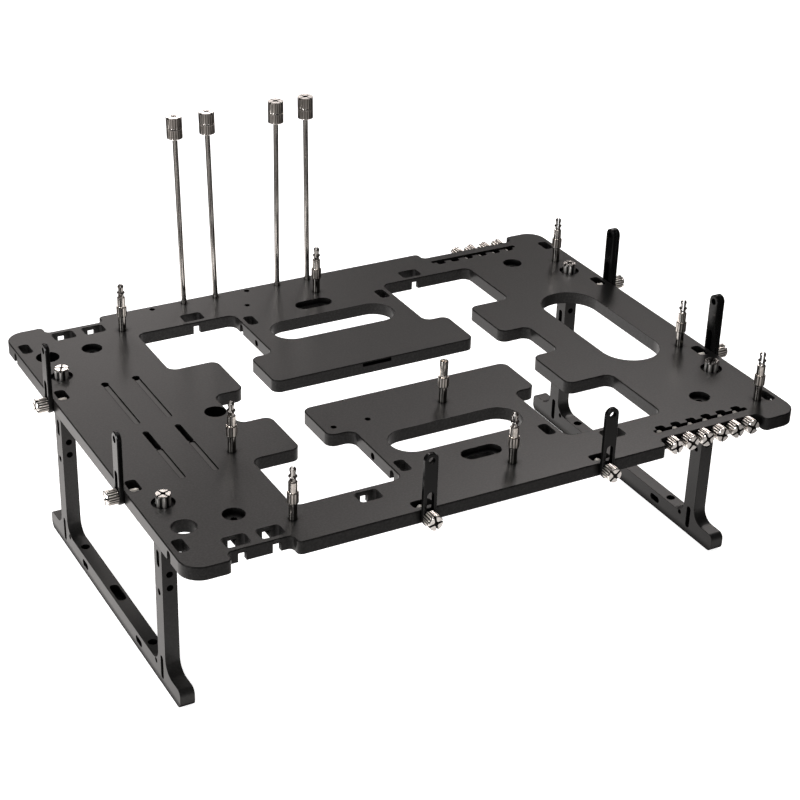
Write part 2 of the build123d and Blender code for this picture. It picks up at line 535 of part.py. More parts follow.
# On the right edge each screw holds two bars, one on the other, and the single bars sit a little lower
for name, (x, y, turn) in bracket_places.items():
    bars = ["inner_bracket", "outer_bracket"] if name in bracket_pairs else ["bracket"]
    stack = len(bars) * BRACKET_THICKNESS
    drop = 0 if name in bracket_pairs else SINGLE_BRACKET_DROP
    for layer, bar in enumerate(bars):
        with BuildPart() as placed_bracket:
            with Locations(at(x, y, SCREW_HEIGHT, (0, 0, turn))):
                with Locations((0, -layer * BRACKET_THICKNESS, -drop)):
                    add(bracket.part)
        save(placed_bracket.part, f"{name}_{bar}")
    with BuildPart() as placed_screw:
        with Locations(at(x, y, SCREW_HEIGHT, (0, 0, turn))):
            with Locations(Location((0, -stack, 0), (90, 0, 0))):
                add(thumb_screw(stack + BRACKET_SCREW_GRIP))
    save(placed_screw.part, f"{name}_bracket_screw")

# Snap stand-off: stud, base, collar, shaft that carries the board, and a split tip above a ring
with BuildPart() as standoff:
    with BuildSketch(Plane.XZ):
        with BuildLine():
            neck_z = STANDOFF_SEAT + SNAP_SHAFT_LENGTH
            ring_z = neck_z + SNAP_NECK_LENGTH
            upper_z = ring_z + SNAP_RING_LENGTH
            tip_z = upper_z + SNAP_UPPER_LENGTH
            tip_top = tip_z + SNAP_TIP_LENGTH
            Polyline(
                (0, -STUD_LENGTH),
                (STUD_DIAMETER / 2, -STUD_LENGTH),
                (STUD_DIAMETER / 2, 0),
                (STANDOFF_BASE_DIAMETER / 2, 0),
                (STANDOFF_BASE_DIAMETER / 2, STANDOFF_BASE_LENGTH),
                (STANDOFF_COLLAR_DIAMETER / 2, STANDOFF_BASE_LENGTH),
                (STANDOFF_COLLAR_DIAMETER / 2, STANDOFF_SEAT),
                (SNAP_SHAFT_DIAMETER / 2, STANDOFF_SEAT),
                (SNAP_SHAFT_DIAMETER / 2, neck_z),
                (SNAP_NECK_DIAMETER / 2, neck_z),
                (SNAP_NECK_DIAMETER / 2, ring_z),
                (SNAP_RING_DIAMETER / 2, ring_z + SNAP_RING_LENGTH / 2),
                (SNAP_UPPER_DIAMETER / 2, upper_z),
                (SNAP_UPPER_DIAMETER / 2, tip_z),
                (SNAP_TIP_DIAMETER / 2, tip_top - SNAP_TIP_DIAMETER / 2),
            )
            RadiusArc(
                (SNAP_TIP_DIAMETER / 2, tip_top - SNAP_TIP_DIAMETER / 2),
                (0, tip_top),
                -SNAP_TIP_DIAMETER / 2,
            )
            Line((0, tip_top), (0, -STUD_LENGTH))
        make_face()
    revolve(axis=Axis.Z)
    with BuildSketch(Plane.XY.offset(neck_z)):
        Rectangle(SNAP_RING_DIAMETER, SNAP_SPLIT_WIDTH, rotation=SNAP_SPLIT_TURN)
    extrude(amount=tip_top - neck_z, mode=Mode.SUBTRACT)

# Alignment post: the same foot and collar under a plain hollow shaft that widens to its top
with BuildPart() as alignment_post:
    with BuildSketch(Plane.XZ):
        with BuildLine():
            Polyline(
                (0, -STUD_LENGTH),
                (STUD_DIAMETER / 2, -STUD_LENGTH),
                (STUD_DIAMETER / 2, 0),
                (STANDOFF_BASE_DIAMETER / 2, 0),
                (STANDOFF_BASE_DIAMETER / 2, STANDOFF_BASE_LENGTH),
                (STANDOFF_COLLAR_DIAMETER / 2, STANDOFF_BASE_LENGTH),
                (STANDOFF_COLLAR_DIAMETER / 2, STANDOFF_SEAT),
                (POST_FOOT_DIAMETER / 2, STANDOFF_SEAT),
                (POST_TOP_DIAMETER / 2, STANDOFF_SEAT + POST_LENGTH),
                (POST_BORE_DIAMETER / 2, STANDOFF_SEAT + POST_LENGTH),
                (POST_BORE_DIAMETER / 2, STANDOFF_SEAT + POST_LENGTH - POST_BORE_DEPTH),
                (0, STANDOFF_SEAT + POST_LENGTH - POST_BORE_DEPTH),
                (0, -STUD_LENGTH),
            )
        make_face()
    revolve(axis=Axis.Z)

for name, (x, y) in board_places.items():
    with BuildPart() as placed_standoff:
        with Locations(at(x, y, PLATE_TOP)):
            add(alignment_post.part if name == "alignment_post" else standoff.part)
    save(placed_standoff.part, name)

# Card posts: a long thin rod with a thumb nut and a thumb cap at its top
with BuildPart() as card_post:
    with BuildSketch(Plane.XY.offset(-STUD_LENGTH)):
        Circle(STUD_DIAMETER / 2)
    extrude(amount=STUD_LENGTH + CARD_POST_LENGTH)
cap_base = CARD_CAP_TOP - CARD_CAP_LENGTH
nut_top = cap_base - CARD_NUT_GAP
with BuildPart() as card_post_nut:
    with BuildSketch(Plane.XY.offset(nut_top - CARD_NUT_LENGTH)):
        Circle(CARD_NUT_DIAMETER / 2)
    extrude(amount=CARD_NUT_LENGTH)
    with Locations((0, 0, nut_top)):
        Hole(STUD_HOLE_DIAMETER / 2, depth=CARD_NUT_LENGTH)
with BuildPart() as card_post_cap:
    with BuildSketch(Plane.XY.offset(cap_base)):
        Circle(CARD_NUT_DIAMETER / 2)
    extrude(amount=CARD_CAP_LENGTH)
    with BuildSketch(Plane.XY.offset(CARD_CAP_TOP)):
        Rectangle(CARD_NUT_DIAMETER, SCREW_DRIVE_WIDTH)
        Rectangle(SCREW_DRIVE_WIDTH, CARD_NUT_DIAMETER)
    extrude(amount=-SCREW_DRIVE_DEPTH, mode=Mode.SUBTRACT)
    with BuildSketch(Plane.XY.offset(cap_base)):
        Circle(STUD_HOLE_DIAMETER / 2)
    extrude(amount=CARD_POST_LENGTH + SCREW_TIP_GAP - cap_base, mode=Mode.SUBTRACT)

# Each post leans a little to the left in its hole, about a point halfway down the stud, with its nut and cap
post_pieces = {"card_post": card_post, "card_post_nut": card_post_nut, "card_post_cap": card_post_cap}
for number, (hole, lean) in enumerate(zip(CARD_POST_HOLES, CARD_POST_LEANS), start=1):
    x, y = card_holes[hole]
    for name, piece in post_pieces.items():
        with BuildPart() as placed_piece:
            with Locations(at(x, y, PLATE_TOP - STUD_LENGTH / 2, (0, -lean, 0))):
                with Locations((0, 0, STUD_LENGTH / 2)):
                    add(piece.part)
        save(placed_piece.part, f"{name}_{number}")
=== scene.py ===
import bpy
import bmesh
from math import atan2, cos, hypot, pi, radians, sin
from mathutils import Matrix, Vector


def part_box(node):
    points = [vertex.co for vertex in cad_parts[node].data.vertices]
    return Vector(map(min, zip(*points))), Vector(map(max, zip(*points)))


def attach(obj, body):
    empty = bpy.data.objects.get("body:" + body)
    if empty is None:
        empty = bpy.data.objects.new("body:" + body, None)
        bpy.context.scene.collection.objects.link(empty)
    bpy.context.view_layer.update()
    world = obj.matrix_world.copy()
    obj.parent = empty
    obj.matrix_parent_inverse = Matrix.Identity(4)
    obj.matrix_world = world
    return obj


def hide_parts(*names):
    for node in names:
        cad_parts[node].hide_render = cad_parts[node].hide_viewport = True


# Open air test bench: finishes for the black plate, side frames and bars, and turned nickel pieces
# that stand in for the plain ones of the CAD model
# Sizes are in metres, in the CAD's frame

MM = 0.001
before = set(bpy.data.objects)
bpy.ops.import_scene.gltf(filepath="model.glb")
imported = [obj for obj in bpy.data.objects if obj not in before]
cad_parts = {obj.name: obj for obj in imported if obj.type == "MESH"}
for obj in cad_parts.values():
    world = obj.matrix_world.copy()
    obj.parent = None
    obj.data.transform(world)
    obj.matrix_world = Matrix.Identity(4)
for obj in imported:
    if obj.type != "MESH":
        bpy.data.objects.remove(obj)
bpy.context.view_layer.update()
PLATE_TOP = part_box("main_plate")[1][2]


# Node graphs

# The Mix node has sockets of the same name for each data type, and these are the colour ones
MIX_FIRST, MIX_SECOND, MIX_RESULT = 6, 7, 2


class Graph:
    """The nodes of a material or a world. Each helper adds some nodes and returns a socket."""

    def __init__(self, tree):
        self.nodes = tree.nodes
        self.links = tree.links

    def put(self, socket, value):
        """Links a socket to another one, or sets it to a number, a vector or a colour."""
        if isinstance(value, bpy.types.NodeSocket):
            self.links.new(value, socket)
        elif socket.type == "RGBA":
            socket.default_value = (*value, 1)
        else:
            socket.default_value = value

    def add(self, kind, sockets, **settings):
        """A node with its settings and the values of its sockets."""
        made = self.nodes.new("ShaderNode" + kind)
        for name, value in settings.items():
            setattr(made, name, value)
        for name, value in sockets.items():
            self.put(made.inputs[name], value)
        return made

    def coordinates(self, kind):
        return self.add("TexCoord", {}).outputs[kind]

    def split(self, vector):
        """The X, Y and Z of a vector."""
        return self.add("SeparateXYZ", {"Vector": vector}).outputs

    def maths(self, kind, first, second=0):
        return self.add("Math", {0: first, 1: second}, operation=kind).outputs["Value"]

    def dot(self, first, second):
        return self.add("VectorMath", {0: first, 1: second}, operation="DOT_PRODUCT").outputs["Value"]

    def spread(self, value, low, high, start=0.0, end=1.0, kind="LINEAR"):
        """A value that goes from low to high while another goes from start to end, and stays level beyond."""
        sockets = {"Value": value, "To Min": low, "To Max": high, "From Min": start, "From Max": end}
        return self.add("MapRange", sockets, interpolation_type=kind).outputs["Result"]

    def noise(self, place, scale, detail, stretch=(1, 1, 1)):
        """Noise at a place, stretched along some axes."""
        stretched = self.add("Mapping", {"Vector": place, "Scale": stretch}).outputs["Vector"]
        return self.add("TexNoise", {"Vector": stretched, "Scale": scale, "Detail": detail}).outputs["Fac"]

    def ramp(self, value, stops):
        """A colour ramp from (position, colour) stops."""
        made = self.add("ValToRGB", {"Fac": value})
        elements = made.color_ramp.elements
        elements[0].position, elements[0].color = stops[0][0], (*stops[0][1], 1)
        elements[1].position, elements[1].color = stops[-1][0], (*stops[-1][1], 1)
        for position, colour in stops[1:-1]:
            elements.new(position).color = (*colour, 1)
        return made.outputs["Color"]

    def mix_colour(self, factor, first, second):
        """One colour laid over another."""
        sockets = {"Factor": factor, MIX_FIRST: first, MIX_SECOND: second}
        return self.add("Mix", sockets, data_type="RGBA").outputs[MIX_RESULT]

    def bump(self, height, distance, strength):
        """A normal bent by a height."""
        sockets = {"Height": height, "Distance": distance, "Strength": strength}
        return self.add("Bump", sockets).outputs["Normal"]


def new_material(name):
    """A material with its graph and its main shader's inputs."""
    made = bpy.data.materials.new(name)
    made.use_nodes = True
    graph = Graph(made.node_tree)
    return made, graph, graph.nodes["Principled BSDF"].inputs


def scaled(colour, factor):
    """A colour made darker or lighter."""
    return tuple(factor * part for part in colour)


# Black anodised aluminium

BLACK_IOR = 1.3
CLOUD_SCALE, CLOUD_DETAIL = 14, 4
CLOUD_START, CLOUD_END = 0.3, 0.7
SPECKLE_SCALE, GRAIN_SCALE, FINE_DETAIL = 900, 1400, 2
GRAIN_STRETCH = (1, 1, 4)
GRAIN_DEPTH, GRAIN_STRENGTH = 0.02 * MM, 0.5
FLECK_START, FLECK_END = 0.4, 0.75
# Edges: a colour and roughness of rubbing, and painted shade where their shine is cut
EDGE_RADIUS = 0.5 * MM
EDGE_SAMPLES = 4
EDGE_START, EDGE_END = 0.995, 0.94
EDGE_COLOUR = (0.006, 0.0058, 0.0056)
EDGE_SHINE_LOSS = 0.8
# Painted shade: corners, pockets and faces against other pieces get a near black colour and less shine
CORNER_REACH = 8 * MM
CORNER_SAMPLES = 8
CORNER_START, CORNER_END = 0.45, 0.85
CORNER_SHADE_COLOUR = (0.001, 0.001, 0.001)
DULL_ROUGHNESS = 0.6
FULL_SPECULAR = 0.5

# The two long milled grooves of the plate, whose floors get a painted highlight
GROOVE_MIDDLE = -139.25 * MM
GROOVE_HALF_PITCH = 9 * MM
GROOVE_HALF_WIDTH = 1.5 * MM
GROOVE_LOW, GROOVE_HIGH = PLATE_TOP - 0.9 * MM, PLATE_TOP - 0.3 * MM
GROOVE_HIGHLIGHT_COLOUR = (0.03, 0.029, 0.028)

# Centre and radius of two round holes of the plate whose walls are painted black as shade all the way down
SHADE_PAINTED_HOLES = [((-165.5 * MM, 102.85 * MM, 0), 6.5 * MM), ((-106.5 * MM, 4.55 * MM, 0), 5.85 * MM)]
WITHOUT_HEIGHT = (1, 1, 0)


def edge_mask(graph, strength):
    """A strength on sharp edges, where the rounded normal turns from the real one, and zero elsewhere."""
    rounded = graph.add("Bevel", {"Radius": EDGE_RADIUS}, samples=EDGE_SAMPLES).outputs["Normal"]
    real = graph.add("NewGeometry", {}).outputs["Normal"]
    return graph.spread(graph.dot(rounded, real), 0, strength, EDGE_START, EDGE_END)


def unshaded_mask(graph):
    """From 0 in corners, pockets and against other pieces, where shade is painted, to 1 on open faces."""
    shut_in = graph.add("AmbientOcclusion", {"Distance": CORNER_REACH}, samples=CORNER_SAMPLES)
    return graph.spread(shut_in.outputs["AO"], 0, 1, CORNER_START, CORNER_END)


def groove_mask(graph, place):
    """One on the floors of the two long milled grooves, else zero."""
    split = graph.split(place)
    from_middle = graph.maths("ABSOLUTE", graph.maths("SUBTRACT", split["X"], GROOVE_MIDDLE))
    off_groove = graph.maths("ABSOLUTE", graph.maths("SUBTRACT", from_middle, GROOVE_HALF_PITCH))
    near = graph.maths("LESS_THAN", off_groove, GROOVE_HALF_WIDTH)
    below = graph.maths("LESS_THAN", split["Z"], GROOVE_HIGH)
    above = graph.maths("GREATER_THAN", split["Z"], GROOVE_LOW)
    return graph.maths("MULTIPLY", near, graph.maths("MULTIPLY", below, above))


def hole_shade_mask(graph, place):
    """One on the walls of the holes painted black as shade, else zero."""
    flat = graph.add("VectorMath", {0: place, 1: WITHOUT_HEIGHT}, operation="MULTIPLY").outputs["Vector"]
    walls = []
    for centre, radius in SHADE_PAINTED_HOLES:
        away = graph.add("VectorMath", {0: flat, 1: centre}, operation="DISTANCE").outputs["Value"]
        walls.append(graph.maths("LESS_THAN", away, radius))
    return graph.maths("MAXIMUM", *walls)


def black_metal(name, dark, light, roughness, edge_wear_and_shade, fleck, milled=False):
    """Black anodised aluminium: a fine speckle, slow changes of tone, edges that are partly rubbed and partly
    painted dark as shade, and dull corners with painted shade.
    """
    made, graph, shader = new_material(name)
    place = graph.coordinates("Object")
    clouds = graph.noise(place, CLOUD_SCALE, CLOUD_DETAIL)
    speckle = graph.noise(place, SPECKLE_SCALE, FINE_DETAIL)
    grain = graph.noise(place, GRAIN_SCALE, FINE_DETAIL, GRAIN_STRETCH)
    tone = graph.ramp(clouds, [(CLOUD_START, dark), (CLOUD_END, light)])
    flecks = graph.ramp(speckle, [(FLECK_START, (0, 0, 0)), (FLECK_END, (1, 1, 1))])
    tone = graph.mix_colour(flecks, tone, scaled(light, fleck))
    worn_and_shaded_edge = edge_mask(graph, edge_wear_and_shade)
    tone = graph.mix_colour(worn_and_shaded_edge, tone, EDGE_COLOUR)
    unshaded_part = unshaded_mask(graph)
    if milled:
        # Painted highlight: the groove floors get a lighter colour
        tone = graph.mix_colour(groove_mask(graph, place), tone, GROOVE_HIGHLIGHT_COLOUR)
        # Painted shade: the walls of two holes go black, without shine
        unshaded_part = graph.maths("MAXIMUM", graph.maths("SUBTRACT", unshaded_part, hole_shade_mask(graph, place)))
    # Painted shade: a near black colour in corners, in pockets and against other pieces
    graph.put(shader["Base Color"], graph.mix_colour(unshaded_part, CORNER_SHADE_COLOUR, tone))
    corners = graph.maths("SUBTRACT", 1, unshaded_part)
    dull = graph.maths("MULTIPLY", graph.maths("MAXIMUM", corners, worn_and_shaded_edge), DULL_ROUGHNESS)
    graph.put(shader["Roughness"], graph.maths("ADD", graph.spread(speckle, *roughness), dull))
    # Painted shade: the shine is cut on edges, which draws them as dark lines, and in corners and pockets
    edge_shine_kept = graph.maths("SUBTRACT", 1, graph.maths("MULTIPLY", worn_and_shaded_edge, EDGE_SHINE_LOSS))
    shine = graph.maths("MULTIPLY", graph.maths("MULTIPLY", unshaded_part, edge_shine_kept), FULL_SPECULAR)
    graph.put(shader["Specular IOR Level"], shine)
    graph.put(shader["IOR"], BLACK_IOR)
    graph.put(shader["Normal"], graph.bump(grain, GRAIN_DEPTH, GRAIN_STRENGTH))
    return made


# Nickel

STREAK_SCALE, STREAK_DETAIL = 700, 3
STREAK_START, STREAK_END = 0.35, 0.65
ALONG_AXIS, EVEN = (1, 1, 0.03), (1, 1, 1)
RIDGE_END, VALLEY_START = 0.2, -0.5
RING_SCALE, RING_DETAIL = 3000, 1
RING_STRETCH = (0.05, 0.05, 1)
RING_DEPTH, RING_STRENGTH = 0.01 * MM, 0.2

KNURLS = 18
RIBS = 6
NUT_FLUTES = 20
COLLAR_FLUTES = 12


def valley_shade_mask(graph, place, count):
    """One in the valleys between some lines that run along the Z axis, where shade is painted, and zero on
    their ridges.
    """
    split = graph.split(place)
    angle = graph.maths("ARCTAN2", split["Y"], split["X"])
    wave = graph.maths("COSINE", graph.maths("MULTIPLY", angle, count))
    return graph.spread(wave, 0, 1, RIDGE_END, VALLEY_START)


def bright_metal(name, colour, roughness, lines=0, valley_shade=1.0, shade=0.82):
    """Nickel with fine turned rings; with lines it also has streaks and painted shade in the valleys along
    its axis.
    """
    made, graph, shader = new_material(name)
    place = graph.coordinates("Object")
    streaks = graph.noise(place, STREAK_SCALE, STREAK_DETAIL, ALONG_AXIS if lines else EVEN)
    tone = graph.ramp(streaks, [(STREAK_START, scaled(colour, shade)), (STREAK_END, colour)])
    if lines:
        # Painted shade: the valleys get a darker colour
        tone = graph.mix_colour(valley_shade_mask(graph, place, lines), tone, scaled(colour, valley_shade))
    graph.put(shader["Base Color"], tone)
    graph.put(shader["Roughness"], graph.spread(streaks, *roughness))
    graph.put(shader["Metallic"], 1)
    rings = graph.noise(place, RING_SCALE, RING_DETAIL, RING_STRETCH)
    graph.put(shader["Normal"], graph.bump(rings, RING_DEPTH, RING_STRENGTH))
    return made


plate_black = black_metal("plate_black", (0.0035, 0.0034, 0.0034), (0.005, 0.0048, 0.0047), (0.26, 0.34),
                          edge_wear_and_shade=1.0, fleck=3, milled=True)
frame_black = black_metal("frame_black", (0.009, 0.0087, 0.0085), (0.012, 0.0116, 0.0113), (0.32, 0.42),
                          edge_wear_and_shade=1.0, fleck=1.4)
bracket_black = black_metal("bracket_black", (0.002, 0.002, 0.002), (0.003, 0.003, 0.003), (0.16, 0.24),
                            edge_wear_and_shade=0.3, fleck=1.8)
nickel = bright_metal("nickel", (1.0, 0.96, 0.92), (0.14, 0.24))
# Painted shade: the base and tip of the stand-offs are darker than their shafts
nickel_base_and_tip_painted_shade = bright_metal("nickel_base_and_tip_painted_shade", (0.36, 0.34, 0.32), (0.1, 0.18))
nickel_shaft = bright_metal("nickel_shaft", (0.75, 0.7, 0.65), (0.14, 0.24))
nickel_rod = bright_metal("nickel_rod", (0.55, 0.52, 0.49), (0.08, 0.14))
# Knurled, ribbed, fluted and collar nickel: painted shade in the valleys between their lines
nickel_knurled = bright_metal("nickel_knurled", (0.95, 0.89, 0.83), (0.28, 0.4), KNURLS, 0.06, 0.6)
nickel_ribbed = bright_metal("nickel_ribbed", (1.0, 0.97, 0.93), (0.42, 0.55), RIBS, 0.05, 0.85)
# Painted shade: the fluted sides of nuts and caps are darker than their tops
nickel_fluted_painted_shade = bright_metal("nickel_fluted_painted_shade", (0.62, 0.57, 0.525), (0.28, 0.42), NUT_FLUTES, 0.3, 0.4)
nickel_collar = bright_metal("nickel_collar", (0.85, 0.79, 0.73), (0.26, 0.38), COLLAR_FLUTES, 0.15, 0.6)
nickel_thread = bright_metal("nickel_thread", (1.0, 0.97, 0.93), (0.75, 0.85))
# Painted shade: a near black nickel for slots, pits and recesses
nickel_recess_painted_shade = bright_metal("nickel_recess_painted_shade", (0.025, 0.022, 0.02), (0.4, 0.5))


def finish_of(name):
    """The finish of a CAD node."""
    if name == "main_plate":
        return plate_black
    if name.endswith("leg_frame"):
        return frame_black
    return bracket_black if name.endswith("bracket") else nickel


for name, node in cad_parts.items():
    for material_slot in node.material_slots:
        material_slot.material = finish_of(name)


# Mesh code for the turned pieces

BAND_ANGLE = 35
FINE_BAND_ANGLE = 32
THREAD_ANGLE = 60


def turned(profile, steps, flutes=None):
    """A mesh turned about Z from (radius, height) points; flutes gives a factor for each point's radius."""
    shape = bmesh.new()
    rings = []
    for radius, height in profile:
        if radius == 0:
            rings.append([shape.verts.new((0, 0, height))])
            continue
        ring = []
        for k in range(steps):
            angle = 2 * pi * k / steps
            reach = radius * flutes(k, height, radius) if flutes else radius
            ring.append(shape.verts.new((reach * cos(angle), reach * sin(angle), height)))
        rings.append(ring)
    for low, high in zip(rings, rings[1:]):
        for k in range(steps):
            after = (k + 1) % steps
            corners = [ring[i % len(ring)] for ring, i in ((low, k), (low, after), (high, after), (high, k))]
            shape.faces.new([v for i, v in enumerate(corners) if v not in corners[:i]])
    bmesh.ops.recalc_face_normals(shape, faces=shape.faces)
    return shape


def as_mesh(shape, name):
    """A bmesh written to a mesh and freed."""
    mesh = bpy.data.meshes.new(name)
    shape.to_mesh(mesh)
    shape.free()
    return mesh


def joined(meshes, name):
    """One mesh made of several, which are removed."""
    shape = bmesh.new()
    for mesh in meshes:
        shape.from_mesh(mesh)
        bpy.data.meshes.remove(mesh)
    return as_mesh(shape, name)


def smooth(mesh, limit):
    """Smooth shading with sharp edges above an angle in degrees."""
    mesh.shade_smooth()
    mesh.set_sharp_from_angle(angle=radians(limit))


def linked(name, data):
    """An object in the scene's collection."""
    made = bpy.data.objects.new(name, data)
    bpy.context.scene.collection.objects.link(made)
    return made


def cut_boxes(mesh, plans, bottom, top, turn):
    """A mesh less some boxes of given length and width, between two heights and turned about Z."""
    target = linked("cut_target", mesh)
    tools = []
    for length, width in plans:
        shape = bmesh.new()
        bmesh.ops.create_cube(shape, size=1)
        middle = Matrix.Translation((0, 0, (bottom + top) / 2))
        sized = Matrix.Diagonal((length, width, top - bottom, 1))
        shape.transform(Matrix.Rotation(turn, 4, "Z") @ middle @ sized)
        tool = linked("cut_tool", as_mesh(shape, "cut_tool"))
        cut = target.modifiers.new("cut", "BOOLEAN")
        cut.operation = "DIFFERENCE"
        cut.solver = "MANIFOLD"
        cut.object = tool
        tools.append(tool)
    bpy.context.view_layer.update()
    result = bpy.data.meshes.new_from_object(target.evaluated_get(bpy.context.evaluated_depsgraph_get()))
    for extra in tools + [target]:
        bpy.data.objects.remove(extra)
    return result


def cut_cross(mesh, width, span, bottom, top, turn=0):
    """A mesh less a cross of two slots."""
    return cut_boxes(mesh, [(span, width), (width, span)], bottom, top, turn)


def finished(mesh, finishes, index_of):
    """Gives a mesh its finishes and each face the index that a test gives for its middle and normal."""
    mesh.materials.clear()
    for finish in finishes:
        mesh.materials.append(finish)
    for face in mesh.polygons:
        face.material_index = index_of(hypot(face.center.x, face.center.y), face.center.z, face.normal)
    return mesh


def piece(name, mesh, nodes, place):
    """A nickel piece of the visual model that stands for CAD nodes and rides on the only body."""
    made = linked(name, mesh)
    made.matrix_world = place
    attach(made, "root")
    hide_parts(*nodes)


def middle_of(node):
    """The middle, low corner and high corner of a CAD node's box."""
    low, high = (Vector(corner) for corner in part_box(node))
    return (low + high) / 2, low, high


# Thumb screws: a knurled or ribbed head with a plain rim, a cross slot with a pit, and a threaded shank

HEAD_RADIUS = 4.0 * MM
HEAD_LENGTH = 6.5 * MM
HEAD_EDGE = 0.3 * MM
HEAD_EDGE_STEP = 0.1 * MM
RIM_GROOVE = 0.15 * MM
SLOT_DEPTH = 1.3 * MM
SHANK_RADIUS = 1.75 * MM
SHANK_TIP_RADIUS = 1.35 * MM
SHANK_ROOT = 0.2 * MM
SHANK_STEPS = 20
THREAD_PITCH = 0.6 * MM
THREAD_DEPTH = 0.3 * MM
THREAD_TOP, THREAD_TO_TIP = -0.3 * MM, 0.4 * MM
# Places of the crest and the root in one turn of the thread
CREST, ROOT = 0.3, 0.8
# A step that is too low to see, so that a seat stays flat up to a rounded edge
HAIR = 0.02 * MM
FLUTES_TO_RIM = 0.1 * MM
RIM_LEAD = 0.2 * MM
PIT_TAPER = 0.9
PIT_FLOOR = HEAD_LENGTH - 1.2 * SLOT_DEPTH
SLOT_FLOOR = HEAD_LENGTH - SLOT_DEPTH
# Faces with a smaller outward part than this look up or along a slot
FACES_OUT = 0.7

UP = Vector((0, 0, 1))
KNURLED = {"flutes": KNURLS, "steps": 8, "depth": 0.1, "rim": 1.1 * MM,
           "slot": 1.25 * MM, "pit": 1.3 * MM, "side": nickel_knurled}
RIBBED = {"flutes": RIBS, "steps": 20, "depth": 0.22, "rim": 0.9 * MM,
          "slot": 0.95 * MM, "pit": 1.2 * MM, "side": nickel_ribbed}


def hollow(k, steps):
    """From 0 on a ridge to 1 in the valley between two ridges that are some steps apart."""
    return 0.5 - 0.5 * cos(2 * pi * k / steps)


def threaded(start, end, radius):
    """Profile points of a thread between two heights."""
    points = []
    turns = int(abs(end - start) / THREAD_PITCH)
    step = (end - start) / max(turns, 1)
    for k in range(turns):
        points.append((radius, start + (k + CREST) * step))
        points.append((radius - THREAD_DEPTH, start + (k + ROOT) * step))
    return points


def screw_head(name, kind):
    """The head of a thumb screw, from its seat at height 0 up."""
    rim_base = HEAD_LENGTH - kind["rim"]
    pit = kind["pit"]
    profile = [
        (0, 0),
        (HEAD_RADIUS - HEAD_EDGE, 0),
        (HEAD_RADIUS - HEAD_EDGE_STEP, HAIR),
        (HEAD_RADIUS, HEAD_EDGE),
        (HEAD_RADIUS, rim_base - RIM_LEAD),
        (HEAD_RADIUS - RIM_GROOVE, rim_base),
        (HEAD_RADIUS, rim_base + RIM_GROOVE),
        (HEAD_RADIUS, HEAD_LENGTH - HEAD_EDGE),
        (HEAD_RADIUS - HEAD_EDGE, HEAD_LENGTH),
        (pit, HEAD_LENGTH),
        (PIT_TAPER * pit, SLOT_FLOOR),
        (0, PIT_FLOOR),
    ]
    fluted_top = rim_base - FLUTES_TO_RIM

    def flutes(k, height, radius):
        return 1 - kind["depth"] * hollow(k, kind["steps"]) if height < fluted_top else 1

    head = as_mesh(turned(profile, kind["flutes"] * kind["steps"], flutes), name + "_head")
    head = cut_cross(head, kind["slot"], 3 * HEAD_RADIUS, SLOT_FLOOR, 2 * HEAD_LENGTH)
    smooth(head, BAND_ANGLE)
    return head


def screw_shank(name, length):
    """The threaded shank of a thumb screw, from just inside its head down."""
    profile = [(0, SHANK_ROOT), (SHANK_TIP_RADIUS, SHANK_ROOT)]
    profile += threaded(THREAD_TOP, THREAD_TO_TIP - length, SHANK_RADIUS)
    profile += [(SHANK_TIP_RADIUS, -length), (0, -length)]
    shank = as_mesh(turned(profile, SHANK_STEPS), name + "_shank")
    smooth(shank, THREAD_ANGLE)
    return shank


def thumb_screw(name, shank_length, kind):
    """A thumb screw whose seat is at height 0 and whose shank points down."""
    rim_base = HEAD_LENGTH - kind["rim"]

    def index_of(radius, height, normal):
        """The finish of a face: the shank, the slots and the pit painted dark as shade, the fluted side with
        painted shade in its valleys, or the rest.
        """
        if height < 0:
            return 3
        if HEAD_LENGTH - 1.5 * SLOT_DEPTH < height < HEAD_LENGTH - 0.05 * MM:
            if radius < 0.7 * HEAD_RADIUS or hypot(normal.x, normal.y) < FACES_OUT:
                return 2
        return 1 if radius > 0.6 * HEAD_RADIUS and 0.05 * MM < height < rim_base else 0

    made = joined([screw_head(name, kind), screw_shank(name, shank_length)], name)
    return finished(made, [nickel, kind["side"], nickel_recess_painted_shade, nickel_thread], index_of)


def set_screw(name, mesh, seat, axis, turn, node):
    """A screw with its seat at a point and its head along an axis, turned about it by some degrees."""
    tilt = UP.rotation_difference(axis).to_matrix().to_4x4()
    piece(name, mesh, [node], Matrix.Translation(seat) @ tilt @ Matrix.Rotation(radians(turn), 4, "Z"))


LEG_SHANK = 13.8 * MM
SINGLE_SHANK = 11.2 * MM
PAIR_SHANK = 13.8 * MM
BANK_SHANK = 11.7 * MM
LEG_TURNS = {"left_front": 20, "left_rear": 65, "right_front": 38, "right_rear": 8}
BRACKET_TURNS = {"front_left": 12, "front_right": 40, "left_front": 25, "left_rear": 70,
                 "right_front": 33, "right_rear": 5}
BANK_TURNS = (10, 52, 31, 76, 18, 60)
BANK_COUNTS = {"front": 6, "rear": 4}
OUTWARD = {"front": Vector((0, -1, 0)), "left": Vector((-1, 0, 0)),
           "right": Vector((1, 0, 0)), "rear": Vector((0, 1, 0))}

leg_mesh = thumb_screw("leg_screw", LEG_SHANK, RIBBED)
for corner, turn in LEG_TURNS.items():
    node = f"{corner}_leg_screw"
    middle, low, high = middle_of(node)
    seat = Vector((middle.x, middle.y, high.z - HEAD_LENGTH))
    set_screw(f"{corner}_leg_thumb_screw", leg_mesh, seat, UP, turn, node)

